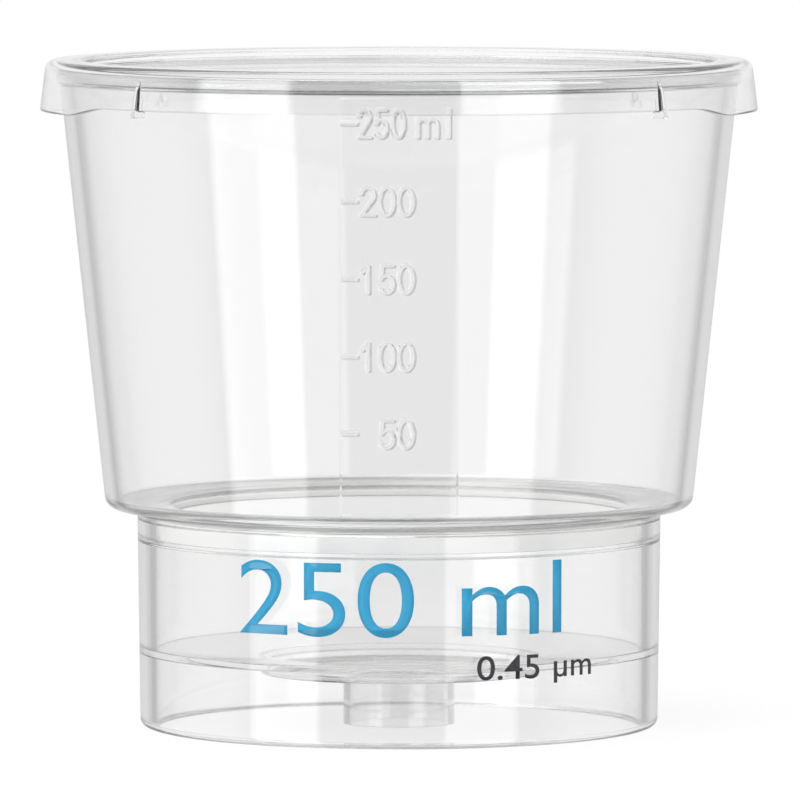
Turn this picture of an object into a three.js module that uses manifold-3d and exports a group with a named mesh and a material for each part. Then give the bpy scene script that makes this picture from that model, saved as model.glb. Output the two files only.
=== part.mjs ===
// Disposable vacuum filtration unit: a clear tapered funnel with a loose lid, welded over a
// round membrane onto a moulded base that drains through a central outlet.
// Millimetres, +Z up. The origin is the centre of the foot ring, and the graduated side of the
// funnel faces -Y.

import * as THREE from 'three';
import { mergeVertices } from 'three/addons/utils/BufferGeometryUtils.js';
import Module from 'manifold-3d';

const wasm = await Module();
wasm.setup();

// ---- driving dimensions ------------------------------------------------------------------

// filter stack
const MEMBRANE_RADIUS = 31.5; // the base's bore and all the wider pieces follow from it
const MEMBRANE_THICKNESS = 0.2;
const PAD_THICKNESS = 0.4;
const SEAL_WIDTH = 1.5;
const SEAL_THICKNESS = 0.8;
const GRID_THICKNESS = 2.0;
const GRID_WINDOW_RIBS = [8, 16, 24, 24]; // ribs between the windows of each ring, outwards
const GRID_RING_WIDTH = 1.2;
const GRID_RIB_WIDTH = 1.1;
const GRID_HUB_RADIUS = 2.4;
const GRID_STAGGER = 0.3; // turn of each ring of windows from the last, in windows

// base
const BASE_WALL = 2.1; // skirt, at the foot
const BASE_DRAFT = 0.35; // how much wider the skirt is at its top
const BASE_HEIGHT = 27.4; // foot to the weld line
const FOOT_ROUND = 1.0;
const LEDGE_WIDTH = 1.0; // ledge that carries the support grid
const LEDGE_THICKNESS = 0.5;
const LEDGE_FOOT = 0.2; // height of the slope that carries the ledge
const FLOOR_HEIGHT = 9.8; // underside of the drain floor where it meets the skirt
const FLOOR_THICKNESS = 0.8;
const FLOOR_FALL = 1.0; // fall of the drain floor from the skirt to the sump
const SUMP_RADIUS = 17.4; // inside of the round sump in the drain floor
const SUMP_DEPTH = 1.6;
const SUMP_FALL = 0.4;
const OUTLET_RADIUS = 7.3; // outside of the outlet spout
const OUTLET_WALL = 0.9;
const OUTLET_RECESS = 0.5; // spout mouth above the foot

// funnel
const SHOULDER_STEP = 4.2; // how far the shoulder stands out past the skirt
const FUNNEL_FLARE = 6.1; // how much wider the funnel is at its rim than at the shoulder
const FUNNEL_HEIGHT = 57.7; // shoulder underside to rim
const FUNNEL_WALL = 1.7;
const SHOULDER_THICKNESS = 1.2;
const SHOULDER_FALL = 0.3; // fall of the funnel floor towards the throat
const CLAMP_WIDTH = 1.3; // how far the shoulder reaches in over the membrane's edge
const COLLAR_DEPTH = 1.35; // collar under the shoulder, down to the weld line
const SHOULDER_ROUND = 1.6; // outer corner of the shoulder
const BEAD_HEIGHT = 1.5; // bead round the rim
const BEAD_PROUD = 0.3;

// scale on the funnel's front wall
const SCALE_WIDTH = 14.9;
const SCALE_PROUD = 0.25;
const TICK_LENGTH = 2.2;
const TICK_HEIGHT = 0.5;
const TICK_PROUD = 0.55;
const TICK_COUNT = 5; // one for every 50 ml
const TICK_FIRST = 11.2; // lowest tick above the funnel's floor
const TICK_LAST = 5.4; // highest tick below the rim

// lid
const LID_PANEL = 1.1; // thickness of the panel, band and step
const LID_STEP = 1.4; // panel top below the band top
const LID_SKIRT_WALL = 1.1;
const LID_SKIRT_HEIGHT = 5.45; // band top to the skirt's edge
const LID_FLARE = 0.65; // how much wider the skirt is at its edge
const LID_ROUND = 1.4; // outer corner of the band
const TAB_DEPTH = 1.15; // grip tabs below the skirt's edge
const TAB_HALF_ANGLE = 29.5; // degrees either side of the X axis
const RIB_ANGLE = 45.8; // degrees from the Y axis
const RIB_WIDTH = 0.9; // at the foot of the rib
const RIB_DEPTH = 1.5; // foot of the rib, with what is inside the skirt's wall
const RIB_TAPER = 0.6; // tip of the rib over its foot
const RIB_DROP = 0.9; // rib below the skirt's edge
const RIB_HEIGHT = 4.2;
const RIB_PROUD = 0.7; // foot of the rib outside the skirt

// clearances
const SEAT_GAP = 0.05; // between stacked flat faces
const SIDE_GAP = 0.45; // round the membrane and the other discs, in the base
const LID_GAP = 0.25; // between the lid and the funnel's rim

// roundness
const TURNS = 64; // facets round a revolved piece
const ARC_STEPS = 2; // facets in a rounded corner

// ---- sizes worked out from them -------------------------------------------------------------

const baseInner = MEMBRANE_RADIUS + SIDE_GAP;
const baseFoot = baseInner + BASE_WALL;
const baseTop = baseFoot + BASE_DRAFT;
const throat = MEMBRANE_RADIUS - CLAMP_WIDTH;
const shoulder = baseTop + SHOULDER_STEP;
const mouth = shoulder + FUNNEL_FLARE;

const shoulderZ = BASE_HEIGHT + SEAT_GAP + COLLAR_DEPTH; // underside of the shoulder
const sealZ = shoulderZ - SEAT_GAP - SEAL_THICKNESS;
const membraneZ = sealZ - SEAT_GAP - MEMBRANE_THICKNESS;
const padZ = membraneZ - SEAT_GAP - PAD_THICKNESS;
const gridZ = padZ - SEAT_GAP - GRID_THICKNESS;
const ledgeZ = gridZ - SEAT_GAP;

const rimZ = shoulderZ + FUNNEL_HEIGHT;
const floorZ = shoulderZ + SHOULDER_THICKNESS; // funnel floor where it meets the wall
const taper = FUNNEL_FLARE / FUNNEL_HEIGHT;

const channelZ = rimZ + SEAT_GAP; // roof of the lid's channel, resting on the rim
const bandZ = channelZ + LID_PANEL;
const panelZ = bandZ - LID_STEP;
const plugRadius = mouth - FUNNEL_WALL - LID_GAP; // step inside the funnel's mouth
const skirtInner = mouth + BEAD_PROUD + LID_GAP;
const skirtOuter = skirtInner + LID_SKIRT_WALL;
const skirtZ = bandZ - LID_SKIRT_HEIGHT;

// outside radius of the funnel's wall at a height
function wallRadius(z) {
  return shoulder + taper * (z - shoulderZ);
}

// ---- shaping ----------------------------------------------------------------------------------

// The points of a closed outline from its corners [radius, height, rounding], anticlockwise.
// A rounded corner becomes an arc that touches both of its sides.
function outline(corners) {
  const at = (i) => {
    const [r, z] = corners[(i + corners.length) % corners.length];
    return new THREE.Vector2(r, z);
  };
  const points = [];
  corners.forEach(([, , rounding = 0], i) => {
    const corner = at(i);
    if (rounding === 0) {
      points.push(corner);
      return;
    }
    const back = at(i - 1).sub(corner).normalize();
    const on = at(i + 1).sub(corner).normalize();
    const half = Math.acos(THREE.MathUtils.clamp(back.dot(on), -1, 1)) / 2;
    const centre = back.clone().add(on).setLength(rounding / Math.sin(half)).add(corner);
    const start = back.multiplyScalar(rounding / Math.tan(half)).add(corner).sub(centre);
    const end = on.multiplyScalar(rounding / Math.tan(half)).add(corner).sub(centre);
    const sweep = Math.atan2(start.cross(end), start.dot(end));
    for (let step = 0; step <= ARC_STEPS; step += 1) {
      const origin = new THREE.Vector2();
      points.push(start.clone().rotateAround(origin, (sweep * step) / ARC_STEPS).add(centre));
    }
  });
  return points;
}

// A ring-shaped solid of revolution about Z from its closed section.
function ring(corners) {
  const points = outline(corners);
  return upright(new THREE.LatheGeometry([...points, points[0]], TURNS));
}

// A solid of revolution whose section starts and ends on the axis.
function disc(corners) {
  return upright(new THREE.LatheGeometry(outline(corners), TURNS));
}

// Turns a shape made about Y so that it stands about Z.
function upright(geometry) {
  return geometry.rotateX(Math.PI / 2);
}

// A flat shape in XY, given a thickness from one height to another.
function slab(shape, low, high) {
  const geometry = new THREE.ExtrudeGeometry(shape, { depth: high - low, bevelEnabled: false });
  return geometry.translate(0, 0, low);
}

// A wedge of a disc between two directions, in degrees from +X.
function wedge(radius, from, to) {
  const shape = new THREE.Shape();
  shape.absarc(0, 0, radius, THREE.MathUtils.degToRad(from), THREE.MathUtils.degToRad(to), false);
  shape.lineTo(0, 0);
  return shape;
}

// An upright rib that narrows to its tip, at a radius in a direction in degrees from +X. It leans
// in by a slope as it rises.
function rib(direction, width, depth, taper, radius, low, height, lean) {
  const corner = width * Math.SQRT1_2;
  const geometry = upright(new THREE.CylinderGeometry(corner * taper, corner, height, 4));
  geometry.rotateZ(Math.PI / 4);
  geometry.scale(depth / width, 1, 1);
  geometry.translate(0, 0, height / 2);
  geometry.applyMatrix4(new THREE.Matrix4().makeShear(0, 0, 0, 0, -lean, 0));
  geometry.translate(radius, 0, low);
  return geometry.rotateZ(THREE.MathUtils.degToRad(direction));
}

// ---- joining and cutting ----------------------------------------------------------------------

// A closed mesh as a solid that can be joined and cut.
function solid(geometry) {
  const bare = geometry.clone();
  bare.deleteAttribute('normal');
  bare.deleteAttribute('uv');
  const merged = mergeVertices(bare, 1e-4);
  const corners = merged.index.array;
  const triangles = [];
  for (let i = 0; i < corners.length; i += 3) {
    const [a, b, c] = [corners[i], corners[i + 1], corners[i + 2]];
    if (a !== b && b !== c && c !== a) triangles.push(a, b, c);
  }
  return new wasm.Manifold(new wasm.Mesh({
    numProp: 3,
    vertProperties: new Float32Array(merged.attributes.position.array),
    triVerts: new Uint32Array(triangles),
  }));
}

// The mesh of a joined or cut solid.
function shell(body) {
  const { numProp, vertProperties, triVerts } = body.getMesh();
  const positions = new Float32Array((vertProperties.length / numProp) * 3);
  for (let i = 0; i < positions.length / 3; i += 1) {
    positions.set(vertProperties.subarray(i * numProp, i * numProp + 3), i * 3);
  }
  const geometry = new THREE.BufferGeometry();
  geometry.setAttribute('position', new THREE.BufferAttribute(positions, 3));
  geometry.setIndex(new THREE.BufferAttribute(new Uint32Array(triVerts), 1));
  geometry.computeVertexNormals();
  return geometry;
}

// ---- materials --------------------------------------------------------------------------------

// Clear crystal polystyrene, with a breath of tint so that the mouldings tell apart.
function clearPlastic(color) {
  return new THREE.MeshStandardMaterial({
    color,
    roughness: 0.06,
    metalness: 0,
    transparent: true,
    opacity: 0.35,
  });
}

function opaque(color, roughness) {
  return new THREE.MeshStandardMaterial({ color, roughness, metalness: 0 });
}

// ---- base: skirt, ledge, drain floor, sump and outlet in one moulding ----------------------------

function makeBase() {
  const floorTop = FLOOR_HEIGHT + FLOOR_THICKNESS;
  const sumpTop = floorTop - FLOOR_FALL;
  const sumpUnder = sumpTop - SUMP_DEPTH - FLOOR_THICKNESS;
  const sumpOuter = SUMP_RADIUS + FLOOR_THICKNESS;
  const bore = OUTLET_RADIUS - OUTLET_WALL;
  const ledgeInner = baseInner - LEDGE_WIDTH;
  const ledgeUnder = ledgeZ - LEDGE_THICKNESS;
  const inside = FLOOR_THICKNESS / 2;
  return ring([
    [baseFoot, 0, Math.min(FOOT_ROUND, BASE_WALL / 2)],
    [baseTop, BASE_HEIGHT],
    [baseInner, BASE_HEIGHT],
    [baseInner, ledgeZ],
    [ledgeInner, ledgeZ],
    [ledgeInner, ledgeUnder],
    [baseInner, ledgeUnder - LEDGE_FOOT],
    [baseInner, floorTop, inside],
    [SUMP_RADIUS, sumpTop, inside / 2],
    [SUMP_RADIUS, sumpTop - SUMP_DEPTH, inside / 2],
    [bore, sumpTop - SUMP_DEPTH - SUMP_FALL, OUTLET_WALL / 3],
    [bore, OUTLET_RECESS],
    [OUTLET_RADIUS, OUTLET_RECESS, OUTLET_WALL / 3],
    [OUTLET_RADIUS, sumpUnder, inside],
    [sumpOuter, sumpUnder, inside],
    [sumpOuter, FLOOR_HEIGHT - FLOOR_FALL],
    [baseInner, FLOOR_HEIGHT, inside],
    [baseInner, 0],
  ]);
}

// ---- filter stack: grid, pad, membrane and seal ---------------------------------------------------

// One window of the grid: the sector between two rings and two ribs of even width.
function gridWindow(inner, outer, ribs, position) {
  const middle = (position * 2 * Math.PI) / ribs;
  const corner = (radius, side) => {
    const turn = middle + side * (Math.PI / ribs - GRID_RIB_WIDTH / 2 / radius);
    return new THREE.Vector2(radius * Math.cos(turn), radius * Math.sin(turn));
  };
  const sides = [-1, 0, 1];
  return new THREE.Shape([
    ...sides.map((side) => corner(outer, side)),
    ...sides.map((side) => corner(inner, -side)),
  ]);
}

function makeSupportGrid() {
  const openRadius = baseInner - LEDGE_WIDTH; // the windows stop over the ledge
  const pitch = (openRadius - GRID_HUB_RADIUS) / GRID_WINDOW_RIBS.length;
  let plate = solid(roundSheet(MEMBRANE_RADIUS, gridZ, GRID_THICKNESS));
  GRID_WINDOW_RIBS.forEach((ribs, row) => {
    const inner = GRID_HUB_RADIUS + row * pitch;
    const outer = inner + pitch - GRID_RING_WIDTH;
    const stagger = row * GRID_STAGGER;
    for (let index = 0; index < ribs; index += 1) {
      const shape = gridWindow(inner, outer, ribs, index + stagger);
      plate = plate.subtract(solid(slab(shape, gridZ - 1, gridZ + GRID_THICKNESS + 1)));
    }
  });
  return shell(plate);
}

function roundSheet(radius, low, thickness) {
  return disc([[0, low], [radius, low], [radius, low + thickness], [0, low + thickness]]);
}

function makeSeal() {
  const inner = MEMBRANE_RADIUS - SEAL_WIDTH;
  const high = sealZ + SEAL_THICKNESS;
  return ring([[MEMBRANE_RADIUS, sealZ], [MEMBRANE_RADIUS, high], [inner, high], [inner, sealZ]]);
}

// ---- funnel: collar, shoulder, tapered wall, rim bead and raised scale ------------------------------

// A skin of the funnel's wall, from half-way through it to a given height proud of it.
function wallSkin(low, high, proud) {
  const depth = FUNNEL_WALL / 2;
  return ring([
    [wallRadius(low) + proud, low],
    [wallRadius(high) + proud, high],
    [wallRadius(high) - depth, high],
    [wallRadius(low) - depth, low],
  ]);
}

// The part of a wall skin between two X positions on the funnel's front.
function frontPatch(low, high, proud, left, right) {
  const box = new THREE.BoxGeometry(right - left, mouth * 2, (high - low) * 2);
  box.translate((left + right) / 2, -mouth - 1, (low + high) / 2);
  return solid(wallSkin(low, high, proud)).intersect(solid(box));
}

function makeFunnel() {
  const beadZ = rimZ - BEAD_HEIGHT;
  const body = ring([
    [shoulder, shoulderZ, SHOULDER_ROUND],
    [wallRadius(beadZ - BEAD_PROUD), beadZ - BEAD_PROUD],
    [wallRadius(beadZ) + BEAD_PROUD, beadZ],
    [mouth + BEAD_PROUD, rimZ, BEAD_PROUD],
    [mouth - FUNNEL_WALL, rimZ, BEAD_PROUD],
    [wallRadius(floorZ) - FUNNEL_WALL, floorZ, SHOULDER_ROUND / 2],
    [throat, floorZ - SHOULDER_FALL, SHOULDER_THICKNESS / 3],
    [throat, shoulderZ],
    [baseInner, shoulderZ],
    [baseInner, BASE_HEIGHT + SEAT_GAP],
    [baseTop, BASE_HEIGHT + SEAT_GAP],
    [baseTop, shoulderZ],
  ]);
  const scaleLow = shoulderZ + SHOULDER_ROUND;
  const scaleHigh = beadZ - BEAD_PROUD;
  const half = SCALE_WIDTH / 2;
  let funnel = solid(body).add(frontPatch(scaleLow, scaleHigh, SCALE_PROUD, -half, half));
  for (let tick = 0; tick < TICK_COUNT; tick += 1) {
    const share = tick / (TICK_COUNT - 1);
    const z = THREE.MathUtils.lerp(floorZ + TICK_FIRST, rimZ - TICK_LAST, share);
    const [low, high] = [z - TICK_HEIGHT / 2, z + TICK_HEIGHT / 2];
    funnel = funnel.add(frontPatch(low, high, TICK_PROUD, -half, TICK_LENGTH - half));
  }
  return shell(funnel);
}

// ---- lid: recessed panel, rim channel, flared skirt, ribs and grip tabs ------------------------------

function makeLid() {
  const recess = plugRadius - LID_PANEL;
  const flare = LID_FLARE / LID_SKIRT_HEIGHT;
  const skirtRadius = (z) => skirtOuter + flare * (bandZ - z); // outside of the skirt at a height
  const body = disc([
    [0, panelZ - LID_PANEL],
    [plugRadius, panelZ - LID_PANEL, LID_PANEL / 3],
    [plugRadius, channelZ],
    [skirtInner, channelZ],
    [skirtRadius(skirtZ) - LID_SKIRT_WALL, skirtZ],
    [skirtRadius(skirtZ), skirtZ],
    [skirtOuter, bandZ, LID_ROUND],
    [recess, bandZ, LID_PANEL / 3],
    [recess, panelZ, LID_PANEL / 3],
    [0, panelZ],
  ]);

  // The grip tabs carry the skirt's flare on downwards.
  const tabZ = skirtZ - TAB_DEPTH;
  const tabTop = skirtZ + LID_SKIRT_WALL;
  const tabRing = solid(ring([
    [skirtRadius(tabZ), tabZ],
    [skirtRadius(tabTop), tabTop],
    [skirtRadius(tabTop) - LID_SKIRT_WALL, tabTop],
    [skirtRadius(tabZ) - LID_SKIRT_WALL, tabZ],
  ]));
  const reach = skirtRadius(tabZ) * 1.5;
  let lid = solid(body);
  for (const side of [0, 180]) {
    const sector = wedge(reach, side - TAB_HALF_ANGLE, side + TAB_HALF_ANGLE);
    lid = lid.add(tabRing.intersect(solid(slab(sector, tabZ - 1, tabTop + 1))));
  }

  // Four short ribs stiffen the skirt's edge and hang a little below it.
  const ribZ = skirtZ - RIB_DROP;
  const ribRadius = skirtRadius(ribZ) + RIB_PROUD - RIB_DEPTH / 2;
  for (const end of [-90, 90]) {
    for (const side of [-RIB_ANGLE, RIB_ANGLE]) {
      const size = [RIB_WIDTH, RIB_DEPTH, RIB_TAPER];
      const place = [ribRadius, ribZ, RIB_HEIGHT];
      lid = lid.add(solid(rib(end + side, ...size, ...place, flare)));
    }
  }
  return shell(lid);
}

// ---- the unit ----------------------------------------------------------------------------------

function piece(name, geometry, material) {
  const mesh = new THREE.Mesh(geometry, material);
  mesh.name = name;
  return mesh;
}

const unit = new THREE.Group();
unit.name = 'vacuum_filtration_unit';
unit.add(
  piece('base', makeBase(), clearPlastic(0xeef2f4)),
  piece('support_grid', makeSupportGrid(), opaque(0xf4f4f2, 0.5)),
  piece('support_pad', roundSheet(MEMBRANE_RADIUS, padZ, PAD_THICKNESS), opaque(0xf6f6f3, 0.95)),
  piece('membrane', roundSheet(MEMBRANE_RADIUS, membraneZ, MEMBRANE_THICKNESS), opaque(0xffffff, 0.85)),
  piece('seal_ring', makeSeal(), opaque(0xe9ecec, 0.45)),
  piece('funnel', makeFunnel(), clearPlastic(0xeef2f4)),
  piece('lid', makeLid(), clearPlastic(0xf0f3f5)),
);

export default unit;
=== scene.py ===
"""A disposable vacuum filtration unit of clear moulded plastic, standing on its skirted base.

A tapered, graduated funnel is welded over a round membrane onto a base that drains through a
central spout, and a loose lid sits on its rim. Sections are in metres once they are a mesh, and
their corners are written in millimetres. Heights are above the foot, and the graduated side
faces -Y.
"""

import bpy
import numpy as np
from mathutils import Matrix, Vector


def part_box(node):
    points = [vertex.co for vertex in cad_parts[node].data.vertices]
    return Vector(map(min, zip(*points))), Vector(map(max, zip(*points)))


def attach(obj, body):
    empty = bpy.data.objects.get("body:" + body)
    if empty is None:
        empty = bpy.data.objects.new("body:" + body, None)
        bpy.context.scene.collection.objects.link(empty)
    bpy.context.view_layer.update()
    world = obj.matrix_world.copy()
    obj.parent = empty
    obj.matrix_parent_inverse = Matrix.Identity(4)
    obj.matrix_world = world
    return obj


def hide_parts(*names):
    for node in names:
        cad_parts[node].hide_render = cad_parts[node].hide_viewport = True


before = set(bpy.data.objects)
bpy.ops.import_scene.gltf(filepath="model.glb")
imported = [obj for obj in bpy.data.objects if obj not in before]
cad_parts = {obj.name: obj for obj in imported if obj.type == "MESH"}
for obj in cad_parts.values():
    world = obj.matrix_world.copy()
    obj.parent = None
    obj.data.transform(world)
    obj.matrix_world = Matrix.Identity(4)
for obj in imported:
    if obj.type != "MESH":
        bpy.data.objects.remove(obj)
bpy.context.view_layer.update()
mm = 0.001

# ---- base ------------------------------------------------------------------------------------
# One clear polystyrene moulding: a slightly tapered skirt with a rounded foot, a ledge inside its
# top for the filter stack, and below that a drain floor that falls to a round sump and a spout.
# Its top face is welded to the funnel's collar.

base_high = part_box("base")[1]
skirt_top = base_high.x / mm
skirt_draft = 0.35
skirt_foot = skirt_top - skirt_draft
skirt_wall = 2.1
bore = skirt_foot - skirt_wall
weld_z = base_high.z / mm
grid_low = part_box("support_grid")[0]
seat_gap = 0.05
ledge_z = grid_low.z / mm - seat_gap
ledge_width = 1.0
ledge_thickness = 0.5
ledge_foot = 0.2
floor_under = 9.8
floor_thickness = 0.8
floor_top = floor_under + floor_thickness
floor_fall = 1.0
sump_radius = 17.4
sump_depth = 1.6
sump_fall = 0.4
sump_z = floor_top - floor_fall - sump_depth
spout_radius = 7.3
spout_wall = 0.9
spout_mouth = 0.5
base_turns = 256


def section(corners, rounds=6, spacing=1.5, rows=()):
    """The line round a moulding's section, as rows (radius, height), in the order of its corners.

    A corner is (radius, height, rounding). Its arc touches both sides of the corner: the arc's
    centre lies on the corner's bisector, rounding / sin(half angle) away. Each straight stretch
    gets points close to its ends and every spacing between, so that it shades flat, unless it is
    very short. The first stretch also gets points at the heights in rows. The first and last
    corners of a section that ends on the axis have no rounding, and the line isn't closed there.
    """
    shortest, from_end = 0.12, 0.05
    points = np.array([c[:2] for c in corners], float)
    on_axis = points[0, 0] == 0
    arcs = []
    for index, (*_, rounding) in enumerate(corners):
        here = points[index]
        back = points[index - 1] - here
        ahead = points[(index + 1) % len(points)] - here
        if rounding == 0:
            arcs.append(here[None])
            continue
        back, ahead = back / np.linalg.norm(back), ahead / np.linalg.norm(ahead)
        half = np.arccos(np.clip(back @ ahead, -1, 1)) / 2
        bisector = (back + ahead) / np.linalg.norm(back + ahead)
        centre = here + bisector * rounding / np.sin(half)
        first = here + back * rounding / np.tan(half) - centre
        last = here + ahead * rounding / np.tan(half) - centre
        sweep = np.arctan2(first[0] * last[1] - first[1] * last[0], first @ last)
        turn = np.linspace(0, sweep, rounds + 1)[:, None]
        side = np.array([-first[1], first[0]])
        arcs.append(centre + first * np.cos(turn) + side * np.sin(turn))
    line = []
    for index, arc in enumerate(arcs):
        line.append(arc)
        if on_axis and index == len(arcs) - 1:
            break
        start, end = arc[-1], arcs[(index + 1) % len(arcs)][0]
        length = np.linalg.norm(end - start)
        if length < shortest:
            continue
        near = min(from_end, length / 4) / length
        share = np.linspace(near, 1 - near, max(2, int(length / spacing) + 1))
        if index == 0 and len(rows):
            share = np.union1d(share, (np.asarray(rows) - start[1]) / (end[1] - start[1]))
        line.append(start + (end - start) * share[:, None])
    return np.vstack(line)


def turned(name, radius, height, angle, closed=True):
    """A surface of revolution about Z: x = radius cos(angle), y = radius sin(angle), z = height.

    The three arrays are in millimetres and radians, one row for each direction round the axis and
    one column for each point of the section, or shapes that spread to that. A section that isn't
    closed starts and ends on the axis, where its points become one pole.
    """
    radius, height, angle = np.broadcast_arrays(radius, height, angle)
    turns, count = radius.shape
    points = np.stack([radius * np.cos(angle), radius * np.sin(angle), height], 2) * mm
    here = np.arange(turns * count).reshape(turns, count)
    on = np.roll(here, -1, 0)
    if not closed:
        here, on = here.copy(), on.copy()
        for pole in (0, -1):
            here[:, pole] = on[:, pole] = here[0, pole]
    ends = count if closed else count - 1
    next_column = np.roll(np.arange(count), -1)
    quads = np.stack([here, on, on[:, next_column], here[:, next_column]], 2)[:, :ends]
    corners = quads.reshape(-1, 4)
    used, corners = np.unique(corners, return_inverse=True)
    corners = corners.reshape(-1, 4)
    faces = [tuple(dict.fromkeys(face)) for face in corners.tolist()]
    mesh = bpy.data.meshes.new(name)
    mesh.from_pydata(points.reshape(-1, 3)[used], [], faces)
    mesh.polygons.foreach_set("use_smooth", np.ones(len(mesh.polygons), bool))
    mesh.update()
    piece = bpy.data.objects.new(name, mesh)
    bpy.context.collection.objects.link(piece)
    return piece


def full_turn(count):
    """Directions evenly round the axis, in radians, as a column."""
    return (np.arange(count) / count * 2 * np.pi)[:, None]


base_line = section([
    (skirt_foot, 0, 1.0),
    (skirt_top, weld_z, 0.06),
    (bore, weld_z, 0.06),
    (bore, ledge_z, 0.1),
    (bore - ledge_width, ledge_z, 0.06),
    (bore - ledge_width, ledge_z - ledge_thickness, 0.06),
    (bore, ledge_z - ledge_thickness - ledge_foot, 0.1),
    (bore, floor_top, 0.15),
    (sump_radius, floor_top - floor_fall, 0.1),
    (sump_radius, sump_z, 0.2),
    (spout_radius - spout_wall, sump_z - sump_fall, 0.1),
    (spout_radius - spout_wall, spout_mouth, 0.1),
    (spout_radius, spout_mouth, 0.1),
    (spout_radius, sump_z - floor_thickness, 0.5),
    (sump_radius + floor_thickness, sump_z - floor_thickness, 0.3),
    (sump_radius + floor_thickness, floor_under - floor_fall, 0.3),
    (bore, floor_under, 0.15),
    (bore, 0, 0.3),
])
base = turned("skirted_base", *base_line.T, full_turn(base_turns))


def moulded_surface(name):
    """A shader group for the surface of a clear moulding: patches of haze and faint flow marks.

    Roughness is the polish plus the haze times broad noise. Height is fine noise drawn out along
    Z, as melt leaves it in a tall mould.
    """
    group = bpy.data.node_groups.new(name, "ShaderNodeTree")
    for label in ("Polish", "Haze"):
        group.interface.new_socket(label, in_out="INPUT", socket_type="NodeSocketFloat")
    for label in ("Roughness", "Height"):
        group.interface.new_socket(label, in_out="OUTPUT", socket_type="NodeSocketFloat")
    nodes, links = group.nodes, group.links
    given = nodes.new("NodeGroupInput")
    place = nodes.new("ShaderNodeTexCoord")
    broad = nodes.new("ShaderNodeTexNoise")
    broad.inputs["Scale"].default_value = 45
    broad.inputs["Detail"].default_value = 3
    links.new(place.outputs["Object"], broad.inputs["Vector"])
    haze = nodes.new("ShaderNodeMath")
    haze.operation = "MULTIPLY_ADD"
    links.new(broad.outputs["Fac"], haze.inputs[0])
    links.new(given.outputs["Haze"], haze.inputs[1])
    links.new(given.outputs["Polish"], haze.inputs[2])
    drawn = nodes.new("ShaderNodeMapping")
    drawn.inputs["Scale"].default_value = (1, 1, 0.15)
    links.new(place.outputs["Object"], drawn.inputs["Vector"])
    flow = nodes.new("ShaderNodeTexNoise")
    flow.inputs["Scale"].default_value = 60
    flow.inputs["Detail"].default_value = 1
    links.new(drawn.outputs["Vector"], flow.inputs["Vector"])
    out = nodes.new("NodeGroupOutput")
    links.new(haze.outputs[0], out.inputs["Roughness"])
    links.new(flow.outputs["Fac"], out.inputs["Height"])
    return group


moulded = moulded_surface("moulded surface")


def clear_plastic(name, tone, polish, haze=0.03, flow=0.1, density=8):
    """Clear polystyrene: refracts at 1.59, and darkens with the length of the light's way in it.

    Tone is what a face lets through, polish and haze make its roughness, and flow is the strength
    of its flow marks. Lamps and bounced light pass straight through, less a little at each face.
    """
    material = bpy.data.materials.new(name)
    material.use_nodes = True
    nodes, links = material.node_tree.nodes, material.node_tree.links
    shader = nodes["Principled BSDF"]
    shader.inputs["Base Color"].default_value = (tone, tone, tone, 1)
    shader.inputs["IOR"].default_value = 1.59
    shader.inputs["Transmission Weight"].default_value = 1
    surface = nodes.new("ShaderNodeGroup")
    surface.node_tree = moulded
    surface.inputs["Polish"].default_value = polish
    surface.inputs["Haze"].default_value = haze
    links.new(surface.outputs["Roughness"], shader.inputs["Roughness"])
    bump = nodes.new("ShaderNodeBump")
    bump.inputs["Strength"].default_value = flow
    bump.inputs["Distance"].default_value = 0.2 * mm
    links.new(surface.outputs["Height"], bump.inputs["Height"])
    links.new(bump.outputs["Normal"], shader.inputs["Normal"])
    path = nodes.new("ShaderNodeLightPath")
    straight = nodes.new("ShaderNodeMath")
    straight.operation = "MAXIMUM"
    links.new(path.outputs["Is Shadow Ray"], straight.inputs[0])
    links.new(path.outputs["Is Diffuse Ray"], straight.inputs[1])
    through = nodes.new("ShaderNodeBsdfTransparent")
    through.inputs["Color"].default_value = (0.985, 0.985, 0.985, 1)
    mixed = nodes.new("ShaderNodeMixShader")
    links.new(straight.outputs[0], mixed.inputs[0])
    links.new(shader.outputs[0], mixed.inputs[1])
    links.new(through.outputs[0], mixed.inputs[2])
    out = nodes["Material Output"]
    links.new(mixed.outputs[0], out.inputs["Surface"])
    inside = nodes.new("ShaderNodeVolumeAbsorption")
    inside.inputs["Color"].default_value = (0.81, 0.82, 0.82, 1)
    inside.inputs["Density"].default_value = density
    links.new(inside.outputs[0], out.inputs["Volume"])
    return material


base.data.materials.append(clear_plastic("clear skirt plastic", tone=0.945, polish=0.02))
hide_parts("base")
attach(base, "unit")

# ---- support grid ------------------------------------------------------------------------------
# A white moulded disc on the base's ledge, open between thin rings and ribs, which keeps the
# membrane flat against the vacuum. Its own solid has the real windows, so it stays.


def mottled(name, colour, darkest, grain, detail, roughness):
    """A material whose colour and roughness both vary with one fine noise.

    The colour runs from darkest times itself up to itself, and the roughness over its two ends.
    """
    material = bpy.data.materials.new(name)
    material.use_nodes = True
    nodes, links = material.node_tree.nodes, material.node_tree.links
    shader = nodes["Principled BSDF"]
    place = nodes.new("ShaderNodeTexCoord")
    noise = nodes.new("ShaderNodeTexNoise")
    noise.inputs["Scale"].default_value = grain
    noise.inputs["Detail"].default_value = detail
    links.new(place.outputs["Object"], noise.inputs["Vector"])
    shade = nodes.new("ShaderNodeValToRGB")
    shade.color_ramp.elements[0].color = (*(darkest * np.array(colour)), 1)
    shade.color_ramp.elements[1].color = (*colour, 1)
    links.new(noise.outputs["Fac"], shade.inputs["Fac"])
    links.new(shade.outputs["Color"], shader.inputs["Base Color"])
    rough = nodes.new("ShaderNodeMapRange")
    rough.inputs["To Min"].default_value, rough.inputs["To Max"].default_value = roughness
    links.new(noise.outputs["Fac"], rough.inputs["Value"])
    links.new(rough.outputs[0], shader.inputs["Roughness"])
    return material, noise


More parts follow.
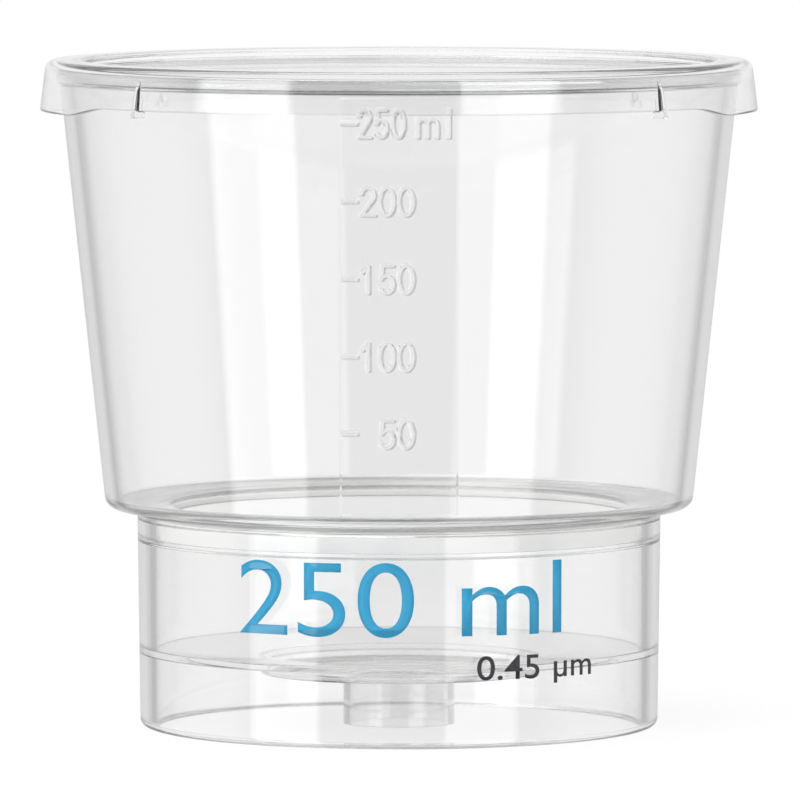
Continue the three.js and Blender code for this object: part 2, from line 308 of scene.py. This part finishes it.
def white_sheet(name, colour, grain, depth):
    """Matt white sheet: mottled, with the same noise as a relief depth millimetres high."""
    material, noise = mottled(name, colour, 0.93, grain, detail=4, roughness=(0.75, 0.95))
    nodes, links = material.node_tree.nodes, material.node_tree.links
    bump = nodes.new("ShaderNodeBump")
    bump.inputs["Distance"].default_value = depth * mm
    links.new(noise.outputs["Fac"], bump.inputs["Height"])
    links.new(bump.outputs["Normal"], nodes["Principled BSDF"].inputs["Normal"])
    return material


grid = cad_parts["support_grid"]
grid.data.materials.clear()
grid_plastic = white_sheet("white grid plastic", (0.94, 0.94, 0.93), grain=200, depth=0.02)
grid.data.materials.append(grid_plastic)

# ---- support pad and membrane ------------------------------------------------------------------
# A disc of white spun-bonded fleece on the grid, and on it the thin white membrane that filters.
# Both are cut from sheet, and the funnel's shoulder clamps their edges.

disc_turns = 192


def sheet_disc(name, node, rounding):
    """A round cut sheet with the size of its node, its two edges eased by a small rounding."""
    low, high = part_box(node)
    edge, under, over = high.x / mm, low.z / mm, high.z / mm
    line = section([(0, under, 0), (edge, under, rounding), (edge, over, rounding), (0, over, 0)],
                   rounds=3)
    piece = turned(name, *line.T, full_turn(disc_turns), closed=False)
    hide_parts(node)
    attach(piece, "unit")
    return piece


pad = sheet_disc("fleece_pad", "support_pad", rounding=0.1)
pad_fleece = white_sheet("white fleece", (0.90, 0.90, 0.88), grain=900, depth=0.08)
pad.data.materials.append(pad_fleece)
membrane = sheet_disc("filter_membrane", "membrane", rounding=0.04)
membrane_film = white_sheet("white membrane", (0.89, 0.89, 0.89), grain=2500, depth=0.01)
membrane.data.materials.append(membrane_film)

# ---- seal ring ---------------------------------------------------------------------------------
# A flat ring of translucent silicone between the membrane's edge and the funnel's shoulder.

seal_low, seal_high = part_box("seal_ring")
seal_outer, seal_under, seal_over = seal_high.x / mm, seal_low.z / mm, seal_high.z / mm
seal_width = 1.5
seal_inner = seal_outer - seal_width
seal_ease = 0.2
seal_line = section([
    (seal_outer, seal_under, seal_ease),
    (seal_outer, seal_over, seal_ease),
    (seal_inner, seal_over, seal_ease),
    (seal_inner, seal_under, seal_ease),
])
seal = turned("silicone_seal", *seal_line.T, full_turn(disc_turns))
silicone = white_sheet("translucent silicone", (0.93, 0.93, 0.92), grain=300, depth=0.01)
silicone.node_tree.nodes["Principled BSDF"].inputs["Transmission Weight"].default_value = 0.2
seal.data.materials.append(silicone)
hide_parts("seal_ring")
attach(seal, "unit")

# ---- funnel ------------------------------------------------------------------------------------
# One clear moulding: a collar welded to the base, a shoulder that steps out over it, and a tapered
# wall with a bead round its rim. On the front a raised panel carries the scale: a tick and a number
# for each 50 ml, moulded proud of it.

funnel_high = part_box("funnel")[1]
rim_z = funnel_high.z / mm
bead_proud = 0.3
mouth_radius = funnel_high.x / mm - bead_proud
funnel_height = 57.7
shoulder_z = rim_z - funnel_height
funnel_flare = 6.1
shoulder_radius = mouth_radius - funnel_flare
taper = funnel_flare / funnel_height
funnel_wall = 1.7
shoulder_thickness = 1.2
shoulder_fall = 0.6
throat_radius = 30.2
funnel_floor = shoulder_z + shoulder_thickness
hollow_round = 0.8  # in the corner between the shoulder and the collar
bead_height = 1.5
bead_z = rim_z - bead_height
panel_width = 14.9
panel_half = panel_width / 2
panel_low = shoulder_z + 1.9
panel_high = bead_z - 0.7
panel_proud = 0.15
mark_proud = 0.4
tick_length = 2.2
tick_height = 0.5
tick_first = funnel_floor + 11.2
tick_last = rim_z - 5.4
tick_heights = np.linspace(tick_first, tick_last, 5)
step_volume = 50
numeral_height = 3.5
numeral_left, numeral_width, numeral_pitch = -4.9, 1.8, 2.43
top_left, top_width, top_pitch = -5.1, 1.45, 2.13  # the highest number has its unit beside it
stroke_width = 0.46
row_step = 0.12
column_step = 0.11
columns_half = 7.7  # fine columns reach a little past the panel's sides
back_columns = 110


def wall_radius(z):
    """Outside radius of the funnel's tapered wall at a height."""
    return shoulder_radius + taper * (z - shoulder_z)


def arc(centre, size, start, end, count=14):
    """Points on an ellipse from one angle to another, in degrees anticlockwise from +X."""
    turn = np.radians(np.linspace(start, end, count))
    return np.stack([centre[0] + size[0] * np.cos(turn), centre[1] + size[1] * np.sin(turn)], 1)


# The centre lines of each character's strokes, in a cell one unit wide and one high.
strokes = {
    "0": [arc((0.5, 0.5), (0.5, 0.5), 0, 360, 33)],
    "1": [np.array([(0.12, 0.74), (0.52, 1.0), (0.52, 0.0)])],
    "2": [np.vstack([arc((0.5, 0.73), (0.46, 0.27), 170, -35), [(0.04, 0.0), (1.0, 0.0)]])],
    "5": [
        np.array([(0.92, 1.0), (0.2, 1.0), (0.1, 0.5)]),
        arc((0.48, 0.32), (0.48, 0.32), 142, -150, 20),
    ],
    "m": [
        np.array([(0.0, 0.68), (0.0, 0.0)]),
        np.vstack([arc((0.42, 0.42), (0.42, 0.24), 180, 0), [(0.84, 0.0)]]),
        np.vstack([arc((1.26, 0.42), (0.42, 0.24), 180, 0), [(1.68, 0.0)]]),
    ],
    "l": [np.array([(0.0, 1.0), (0.0, 0.0)])],
    " ": [],
}
advances = {" ": 0.52, "m": 1.83}  # how far on the next character stands, in steps of a figure


def stroke_distance(x, y, text, left, foot, width, height, pitch):
    """Distance from each point (x, y) to the nearest centre line of a text's strokes.

    For each straight piece from a to b it is |p - a - t (b - a)|, with t the point's place along
    the piece, kept between 0 and 1.
    """
    nearest = np.full(np.broadcast(x, y).shape, np.inf)
    for character in text:
        for line in strokes[character]:
            line = line * (width, height) + (left, foot)
            for (ax, ay), (bx, by) in zip(line[:-1], line[1:]):
                run, rise = bx - ax, by - ay
                along = ((x - ax) * run + (y - ay) * rise) / (run ** 2 + rise ** 2)
                along = np.clip(along, 0, 1)
                gap = np.hypot(x - ax - along * run, y - ay - along * rise)
                nearest = np.minimum(nearest, gap)
        left += pitch * advances.get(character, 1.0)
    return nearest


def ramp(value, edge, soft):
    """1 where value is well below edge, 0 well above it, and a smooth ramp soft wide between."""
    share = np.clip((edge - value) / soft + 0.5, 0, 1)
    return share * share * (3 - 2 * share)


def scale_relief(x, z):
    """How far the funnel's front stands proud of its wall at (x, z), and how far (x, z) is a mark.

    The panel and each tick are products of ramps, and a number is a ramp on the distance to its
    strokes. The marks are the greatest of these at each point, and stand on the panel.
    """
    panel = ramp(np.abs(x), panel_half, column_step)
    panel = panel * ramp(z, panel_high, 0.4) * ramp(-z, -panel_low, 0.2)
    marks = np.zeros_like(panel)
    for count, tick_z in enumerate(tick_heights, 1):
        tick = ramp(np.abs(z - tick_z), tick_height / 2, 0.2)
        tick = tick * ramp(np.abs(x + panel_half - tick_length / 2), tick_length / 2, 0.2)
        highest = count == len(tick_heights)
        left, width, pitch = numeral_left, numeral_width, numeral_pitch
        if highest:
            left, width, pitch = top_left, top_width, top_pitch
        figures = str(step_volume * count)
        left += pitch * (3 - len(figures))
        gap = stroke_distance(x, z, figures + " ml" * highest, left, tick_z - numeral_height / 2,
                              width, numeral_height, pitch)
        marks = np.maximum(marks, np.maximum(tick, ramp(gap, stroke_width / 2, 0.12)))
    return panel_proud * panel + mark_proud * marks, marks


# Rows close together at each number and at the panel's two ends.
fine_rows = np.concatenate([
    (tick_heights[:, None] + np.arange(-2.5, 2.55, row_step)).ravel(),
    shoulder_z + np.arange(1.75, 2.1, 0.06),
    bead_z - np.arange(0.5, 1.0, 0.08),
])
funnel_line = section([
    (shoulder_radius, shoulder_z, 1.6),
    (wall_radius(bead_z - bead_proud), bead_z - bead_proud, 0.3),
    (wall_radius(bead_z) + bead_proud, bead_z, 0.2),
    (mouth_radius + bead_proud, rim_z, 0.3),
    (mouth_radius - funnel_wall, rim_z, 0.3),
    (wall_radius(funnel_floor) - funnel_wall, funnel_floor, 0.5),
    (throat_radius, funnel_floor - shoulder_fall, 0.08),
    (throat_radius, shoulder_z, 0.06),
    (bore, shoulder_z, 0.06),
    (bore, weld_z + seat_gap, 0.06),
    (skirt_top, weld_z + seat_gap, 0.06),
    (skirt_top, shoulder_z, hollow_round),
], spacing=1.8, rows=fine_rows)


def funnel_directions(radius):
    """Directions round the funnel, one column per point of its section, measured from -Y.

    Over the scale they keep an even step in x, so sin(direction) = x / radius, and the rest of the
    turn is divided evenly.
    """
    columns = np.arange(-columns_half, columns_half - column_step / 2, column_step)
    front = np.arcsin(np.append(columns, columns_half)[:, None] / radius[None])
    share = np.linspace(0, 1, back_columns)[1:-1, None]
    round_back = front[-1] + (2 * np.pi + front[0] - front[-1]) * share
    return np.vstack([front, round_back])


def dulled_with_painted_shade(material, mask, tone, dulled):
    """Painted shade on clear plastic: where the mask is 1, tone is its colour, a grey that stands
    in for shade.

    Its roughness rises there by dulled times the mask.
    """
    nodes, links = material.node_tree.nodes, material.node_tree.links
    shader = nodes["Principled BSDF"]
    marked = nodes.new("ShaderNodeAttribute")
    marked.attribute_name = mask
    colour = nodes.new("ShaderNodeValToRGB")
    colour.color_ramp.elements[0].color = shader.inputs["Base Color"].default_value
    colour.color_ramp.elements[1].color = (tone, tone, tone, 1)
    links.new(marked.outputs["Fac"], colour.inputs["Fac"])
    links.new(colour.outputs["Color"], shader.inputs["Base Color"])
    rough = nodes.new("ShaderNodeMath")
    rough.operation = "MULTIPLY_ADD"
    rough.inputs[1].default_value = dulled
    links.new(marked.outputs["Fac"], rough.inputs[0])
    links.new(shader.inputs["Roughness"].links[0].from_socket, rough.inputs[2])
    links.new(rough.outputs[0], shader.inputs["Roughness"])


line_radius, line_z = funnel_line.T
from_front = funnel_directions(line_radius)
outer_wall = (np.cos(from_front) > 0) * (line_radius > wall_radius(line_z) - 0.01)
over_scale = line_radius * np.sin(from_front)
proud, marks = scale_relief(over_scale, line_z[None])
funnel_radius = line_radius + proud * outer_wall
funnel = turned("graduated_funnel", funnel_radius, line_z, from_front - np.pi / 2)

# Painted shade: a painted shadow at the lower right of each mark, a painted dark band in the hollow
# corner under the shoulder, and the marks themselves painted a little darker. All these places are
# also a little rougher.
painted_mark_shadow = scale_relief(over_scale - 0.25, line_z[None] + 0.12)[1]
painted_mark_shadow = np.clip(painted_mark_shadow - marks, 0, 1)
# Painted shade: a dark band in the hollow corner between the shoulder and the collar.
painted_hollow_band = ramp(line_z, shoulder_z + 0.15, 0.2) * ramp(-line_z, 0.7 - shoulder_z, 0.2)
painted_hollow_band = painted_hollow_band * (line_radius > skirt_top - 0.02)
shade = (0.12 * marks + 0.85 * painted_mark_shadow) * outer_wall + painted_hollow_band
funnel.data.attributes.new("shade", "FLOAT", "POINT").data.foreach_set("value", shade.ravel())
funnel_plastic = clear_plastic("clear funnel plastic", tone=0.945, polish=0.015)
# Painted shade: where the shade attribute is 1, the funnel's colour is darkened to 0.25 grey.
dulled_with_painted_shade(funnel_plastic, "shade", tone=0.25, dulled=0.15)
funnel.data.materials.append(funnel_plastic)
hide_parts("funnel")
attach(funnel, "unit")

# ---- print on the skirt ------------------------------------------------------------------------
# Two lines of screen print on the outside of the skirt: the funnel's volume in large light blue
# figures and the membrane's pore size in small dark ones. The ink is a film that follows the skirt.

film_thickness = 0.02


def ink(name, colour):
    """Screen-printing ink: an even colour with a faintly mottled, satin surface."""
    return mottled(name, colour, 0.9, grain=1500, detail=2, roughness=(0.35, 0.5))[0]


def printed(name, text, capital, left, foot, material, stretch, weight):
    """A text as a film of ink round the skirt: x becomes an arc of the skirt, and y a height.

    Capital is the height of a capital, left and foot are where the text starts, stretch widens it
    and weight thickens its strokes.
    """
    words = bpy.data.curves.new(name, "FONT")
    words.body = text
    words.size = 1
    words.offset = weight
    carrier = bpy.data.objects.new(name, words)
    bpy.context.collection.objects.link(carrier)
    mesh = bpy.data.meshes.new_from_object(carrier)
    bpy.data.objects.remove(carrier)
    flat = np.empty(len(mesh.vertices) * 3)
    mesh.vertices.foreach_get("co", flat)
    flat = flat.reshape(-1, 3)
    scale = capital / (flat[:, 1].max() - max(flat[:, 1].min(), 0))
    across = left + (flat[:, 0] - flat[:, 0].min()) * scale * stretch
    up = foot + flat[:, 1] * scale
    radius = skirt_foot + skirt_draft * up / weld_z + film_thickness
    turn = across / radius
    mesh.vertices.foreach_set(
        "co", (np.stack([radius * np.sin(turn), -radius * np.cos(turn), up], 1) * mm).ravel())
    mesh.update()
    piece = bpy.data.objects.new(name, mesh)
    bpy.context.collection.objects.link(piece)
    film = piece.modifiers.new("film", "SOLIDIFY")
    film.thickness = film_thickness * mm
    film.offset = 1
    piece.data.materials.append(material)
    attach(piece, "unit")
    return piece


blue = ink("light blue ink", (0.026, 0.352, 0.610))
dark = ink("dark ink", (0.03, 0.03, 0.035))
printed("volume_print", "250 ml", capital=9.6, left=-22.0, foot=14.6, material=blue,
        stretch=1.2, weight=-0.002)
printed("pore_print", "0.45 µm", capital=3.1, left=10.2, foot=8.9, material=dark,
        stretch=1.22, weight=0.005)

# ---- lid ---------------------------------------------------------------------------------------
# One thin clear moulding that lies loose on the rim: a panel sunk inside the mouth, a band with a
# channel for the rim, and a flared skirt. Four short ribs stiffen the skirt's edge, and two grip
# tabs carry the skirt on downwards at the sides.

lid_low, lid_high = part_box("lid")
band_z = lid_high.z / mm
lid_wall = 1.1
lid_round = 1.4
recess_depth = 1.4
lid_clearance = 0.25
channel_z = band_z - lid_wall
panel_top = band_z - recess_depth
plug_radius = mouth_radius - funnel_wall - lid_clearance
recess_radius = plug_radius - lid_wall
lid_skirt_inner = mouth_radius + bead_proud + lid_clearance
lid_skirt_outer = lid_skirt_inner + lid_wall
lid_skirt_height = 5.45
lid_skirt_z = band_z - lid_skirt_height
lid_spread = 0.65
lid_flare = lid_spread / lid_skirt_height
hang_height = 2.5  # the height of skirt that stretches down to a tab's edge
foot_ease = 0.12
tab_depth = lid_skirt_z - lid_low.z / mm
tab_half = np.radians(29.5)
tab_ease = 10.0  # length of the slope at each end of a tab
rib_direction = np.radians(90 - 45.8)
rib_width = 0.9
rib_depth = 1.5
rib_taper = 0.6
rib_z = lid_skirt_z - 0.9
rib_height = 4.2
rib_proud = 0.7
rib_ease = 0.08


def lid_skirt_radius(z):
    """Outside radius of the lid's flared skirt at a height."""
    return lid_skirt_outer + lid_flare * (band_z - z)


# Everything on the skirt repeats in the four quarters, so a place is told by its direction's
# distance from the nearer end of the X axis, as an arc length at the skirt's edge.
edge_radius = lid_skirt_radius(lid_skirt_z)
tab_end = tab_half * edge_radius
rib_place = rib_direction * edge_radius
rib_side = np.array([-2, -0.5, -0.25, 0, 0.25, 0.5, 2]) * rib_ease
near_features = np.concatenate([
    tab_end + np.linspace(-0.5, 0.5, 33) * tab_ease,
    rib_place + np.linspace(-0.3, 0.3, 5) * rib_width,
    rib_place + rib_width / 2 + rib_side,
    rib_place - rib_width / 2 + rib_side,
    rib_place + np.array([-1.5, 1.5]) * rib_width,
])
quarter = np.union1d(np.linspace(0, np.pi / 2, 56), near_features / edge_radius)
half_turn = np.union1d(quarter, np.pi - quarter)
lid_turn = np.union1d(half_turn, half_turn + np.pi)[:-1, None]
from_tab = np.arcsin(np.abs(np.sin(lid_turn))) * edge_radius
from_rib = from_tab - rib_place
in_tab = ramp(from_tab, tab_end, tab_ease)
in_rib = ramp(np.abs(from_rib), rib_width / 2, rib_ease)
edge_z = lid_skirt_z - tab_depth * in_tab - (lid_skirt_z - rib_z) * in_rib

lid_line = section([
    (0, panel_top - lid_wall, 0),
    (plug_radius, panel_top - lid_wall, 0.35),
    (plug_radius, channel_z, 0.25),
    (lid_skirt_inner, channel_z, 0.25),
    (edge_radius - lid_wall, lid_skirt_z, foot_ease),
    (edge_radius, lid_skirt_z, foot_ease),
    (lid_skirt_outer, band_z, lid_round),
    (recess_radius, band_z, 0.35),
    (recess_radius, panel_top, 0.35),
    (0, panel_top, 0),
], spacing=0.7)
lid_radius, lid_height = lid_line[None, :, 0], lid_line[None, :, 1]


def hung_skirt(radius, height):
    """The lid's section in every direction, with its tabs and ribs, and the turn of each point.

    Near the edge, heights stretch down to the edge there, z = top - (top - height) (top - edge) /
    (top - plain edge), and the radius follows the flare. A rib narrows upwards, so its points
    close up round its middle by 1 - (1 - taper) rise / height, fading out beside it.
    """
    top = lid_skirt_z + hang_height
    skirt = (radius > mouth_radius) & (height < band_z - lid_round)
    hangs = skirt & (height < top)
    stretch = (top - edge_z) / (top - lid_skirt_z)
    moved = np.where(hangs, top - (top - height) * stretch, height)
    narrowed = (1 - rib_taper) * np.clip((moved - rib_z) / rib_height, 0, 1)
    outside = radius > lid_skirt_radius(height) - lid_wall / 2
    rise = (rib_proud - narrowed * rib_depth / 2) * in_rib
    grown = rise * ramp(moved, rib_z + rib_height, 0.3) * outside * skirt
    beside = np.clip((rib_width * 1.5 - np.abs(from_rib)) / rib_width, 0, 1)
    closed_up = -from_rib * narrowed * beside * skirt / edge_radius
    turn = lid_turn + closed_up * np.sign(np.sin(2 * lid_turn))
    return radius + np.where(hangs, lid_flare * (height - moved), 0) + grown, moved, turn


lid = turned("lift_off_lid", *hung_skirt(lid_radius, lid_height), closed=False)
lid.data.materials.append(clear_plastic("clear lid plastic", tone=0.975, polish=0.015))
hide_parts("lid")
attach(lid, "lid")

# ---- studio ------------------------------------------------------------------------------------
# A plain pale floor that runs out to white, soft light from above and all round, and two tall
# upright bright bands in the world at the front that only first reflections see. The camera looks
# slightly down through a long lens at the graduated side.

floor_mesh = bpy.data.meshes.new("floor")
floor_mesh.from_pydata([(-8, -8, 0), (8, -8, 0), (8, 8, 0), (-8, 8, 0)], [], [(0, 1, 2, 3)])
floor = bpy.data.objects.new("floor", floor_mesh)
bpy.context.collection.objects.link(floor)
floor.visible_glossy = False


def floor_paint():
    """Pale floor: near the unit it takes light and shadow, and farther out it is plain white."""
    material = bpy.data.materials.new("pale floor")
    material.use_nodes = True
    nodes, links = material.node_tree.nodes, material.node_tree.links
    nodes.remove(nodes["Principled BSDF"])
    path = nodes.new("ShaderNodeLightPath")
    seen = nodes.new("ShaderNodeMath")
    seen.operation = "MAXIMUM"
    links.new(path.outputs["Is Camera Ray"], seen.inputs[0])
    links.new(path.outputs["Is Transmission Ray"], seen.inputs[1])
    mirrored = nodes.new("ShaderNodeMath")
    mirrored.operation = "COMPARE"
    mirrored.inputs[1].default_value = 1.0
    mirrored.inputs[2].default_value = 0.1
    links.new(path.outputs["Glossy Depth"], mirrored.inputs[0])
    often = nodes.new("ShaderNodeMapRange")
    often.inputs["From Min"].default_value = 1.0
    often.inputs["From Max"].default_value = 2.0
    often.inputs["To Min"].default_value = 1.0
    often.inputs["To Max"].default_value = 0.88
    links.new(path.outputs["Glossy Depth"], often.inputs["Value"])
    place = nodes.new("ShaderNodeTexCoord")
    far = nodes.new("ShaderNodeVectorMath")
    far.operation = "LENGTH"
    links.new(place.outputs["Object"], far.inputs[0])
    share = nodes.new("ShaderNodeMapRange")
    share.interpolation_type = "SMOOTHSTEP"
    share.inputs["From Min"].default_value = 0.06
    share.inputs["From Max"].default_value = 0.30
    share.inputs["To Min"].default_value = 0.8
    links.new(far.outputs["Value"], share.inputs["Value"])
    whitened = nodes.new("ShaderNodeMath")
    whitened.operation = "MULTIPLY"
    links.new(seen.outputs[0], whitened.inputs[0])
    links.new(share.outputs[0], whitened.inputs[1])
    plain = nodes.new("ShaderNodeBsdfDiffuse")
    plain.inputs["Color"].default_value = (0.95, 0.95, 0.95, 1)
    white = nodes.new("ShaderNodeEmission")
    links.new(often.outputs[0], white.inputs["Strength"])
    mixed = nodes.new("ShaderNodeMixShader")
    links.new(whitened.outputs[0], mixed.inputs[0])
    links.new(plain.outputs[0], mixed.inputs[1])
    links.new(white.outputs[0], mixed.inputs[2])
    unseen = nodes.new("ShaderNodeBsdfTransparent")
    laid = nodes.new("ShaderNodeMixShader")
    links.new(mirrored.outputs[0], laid.inputs[0])
    links.new(mixed.outputs[0], laid.inputs[1])
    links.new(unseen.outputs[0], laid.inputs[2])
    links.new(laid.outputs[0], nodes["Material Output"].inputs["Surface"])
    return material


floor_mesh.materials.append(floor_paint())

world = bpy.data.worlds.new("studio")
bpy.context.scene.world = world
world.use_nodes = True


def studio_world(nodes, links):
    """What surrounds the unit: white to the eye and through clear plastic, grey with two bright
    upright bands in a first reflection, and an even fill for everything else.

    The fill rises to 1 where it is seen, and is less in later reflections and high up through the
    plastic. In a first reflection the strength is the grey plus the two bands.
    """
    endless = 400.0  # past every angle, for a band with no upper end
    box_edge = 1.5
    box_light = 1.6
    fill = 0.75

    def math(operation, a, b=None, c=None):
        """The result of a Math node. Each of its inputs is a number or another node's output."""
        node = nodes.new("ShaderNodeMath")
        node.operation = operation
        for socket, value in zip(node.inputs, (a, b, c)):
            if value is None:
                continue
            if isinstance(value, (int, float)):
                socket.default_value = value
            else:
                links.new(value, socket)
        return node.outputs[0]

    def band(value, low, high, soft):
        """min(value - low, high - value) / soft, kept between 0 and 1."""
        rise = math("DIVIDE", math("SUBTRACT", value, low), soft)
        fall = math("DIVIDE", math("SUBTRACT", high, value), soft)
        inside = math("MINIMUM", rise, fall)
        return math("MAXIMUM", math("MINIMUM", inside, 1.0), 0.0)

    place = nodes.new("ShaderNodeTexCoord")
    split = nodes.new("ShaderNodeSeparateXYZ")
    links.new(place.outputs["Generated"], split.inputs[0])
    x, y, z = split.outputs
    azimuth = math("MULTIPLY", math("ARCTAN2", x, math("MULTIPLY", y, -1.0)), 180 / np.pi)
    elevation = math("MULTIPLY", math("ARCSINE", z), 180 / np.pi)
    off_front = math("ABSOLUTE", azimuth)
    left = band(azimuth, -70.0, -36.0, box_edge)
    right = math("MULTIPLY", band(azimuth, 20.0, 55.0, box_edge), 0.8)
    boxes = math("MULTIPLY", math("ADD", left, right), band(elevation, -60.0, 38.0, 3.0))
    beside = band(off_front, 60.0, endless, 25.0)
    behind = band(off_front, 108.0, endless, 28.0)
    below = math("SUBTRACT", 1.0, band(elevation, -2.0, endless, 4.0))
    edges = band(off_front, 138.0, 153.0, 5.0)
    dimming = math("ADD", 0.4, math("MULTIPLY", edges, 0.5))
    dimmed = math("MULTIPLY", math("MULTIPLY", behind, below), dimming)
    pale = math("MULTIPLY", beside, math("SUBTRACT", 1.0, dimmed))
    grey = math("ADD", 0.38, math("MULTIPLY", pale, 0.52))
    glossy = math("ADD", grey, math("MULTIPLY", boxes, box_light))
    path = nodes.new("ShaderNodeLightPath")
    through, reflections = path.outputs["Is Transmission Ray"], path.outputs["Glossy Depth"]
    often = math("GREATER_THAN", reflections, 1.5)
    seen = math("MAXIMUM", path.outputs["Is Camera Ray"], through)
    seen = math("MAXIMUM", seen, often)
    lit = math("ADD", fill, math("MULTIPLY", seen, 1 - fill))
    lit = math("SUBTRACT", lit, math("MULTIPLY", often, 0.12))
    aloft = math("MULTIPLY", band(elevation, 28.0, endless, 25.0), through)
    lit = math("SUBTRACT", lit, math("MULTIPLY", aloft, 0.5))
    reflected = math("COMPARE", reflections, 1.0, 0.1)
    strength = math(
        "ADD",
        math("MULTIPLY", lit, math("SUBTRACT", 1.0, reflected)),
        math("MULTIPLY", glossy, reflected),
    )
    links.new(strength, nodes["Background"].inputs["Strength"])
    nodes["Background"].inputs["Color"].default_value = (1, 1, 1, 1)


studio_world(world.node_tree.nodes, world.node_tree.links)

key = bpy.data.lights.new("key", "SUN")
key.energy = 1.4
key.angle = np.radians(50)
key_lamp = bpy.data.objects.new("key", key)
key_lamp.rotation_euler = np.radians((28, -22, 0))
key_lamp.visible_glossy = False
bpy.context.collection.objects.link(key_lamp)

camera_data = bpy.data.cameras.new("camera")
camera_data.sensor_width = 36
camera_data.lens = 486
camera_data.clip_end = 50
camera = bpy.data.objects.new("camera", camera_data)
bpy.context.collection.objects.link(camera)
eye = np.array([0, -1417, 141.7]) * mm
aim = np.array([0.13, 0, 42.8]) * mm
slope = np.arctan2(eye[2] - aim[2], aim[1] - eye[1])
camera.location = eye
camera.rotation_euler = (np.pi / 2 - slope, 0, -np.arctan2(aim[0], -eye[1]))
bpy.context.scene.camera = camera

bpy.context.scene.view_settings.view_transform = "Standard"
cycles = bpy.context.scene.cycles
cycles.max_bounces = 32
cycles.transmission_bounces = 32
cycles.glossy_bounces = 24
cycles.transparent_max_bounces = 32
